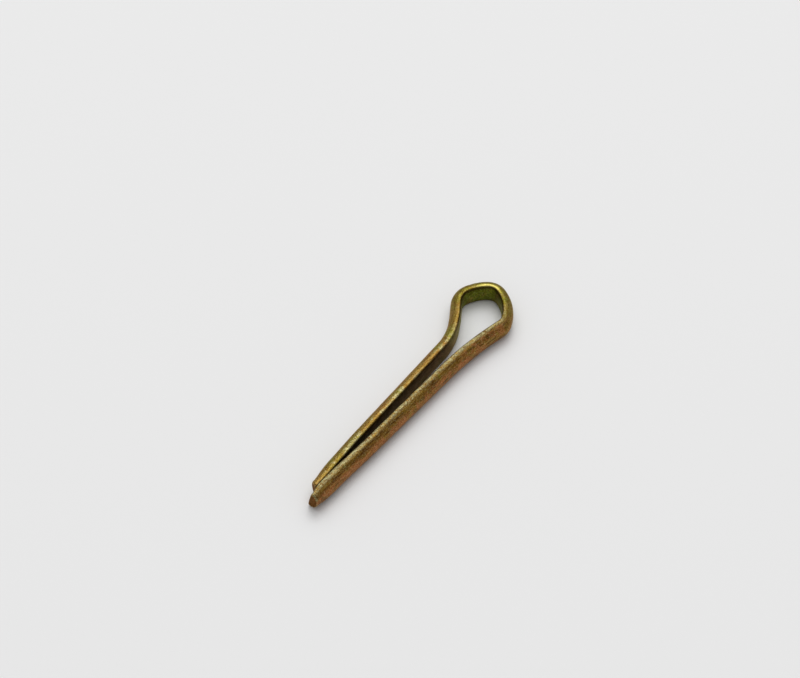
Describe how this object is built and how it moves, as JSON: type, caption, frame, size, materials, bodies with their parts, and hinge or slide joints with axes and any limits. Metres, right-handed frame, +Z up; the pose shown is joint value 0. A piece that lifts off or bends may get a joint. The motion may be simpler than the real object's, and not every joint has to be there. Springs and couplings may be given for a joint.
{
  "type": "cotter pin",
  "caption": "Split cotter pin: one half-round wire folded into a looped eye, with two slightly sprung prongs of unequal length.",
  "frame": {"origin": "middle of the bounding box at its lowest point, on the surface that the pin lies on", "axes": "+X along the pin from the prong ends toward the eye, +Y toward the short prong, +Z up across the wire's flat width"},
  "size_m": [0.0482, 0.0104, 0.0036],
  "materials": {
    "chromated_steel": "yellow chromate over zinc plate, satin, with olive, gold and brown patches"
  },
  "bodies": {
    "root": {"cotter_pin": "chromated_steel"}
  },
  "joints": []
}
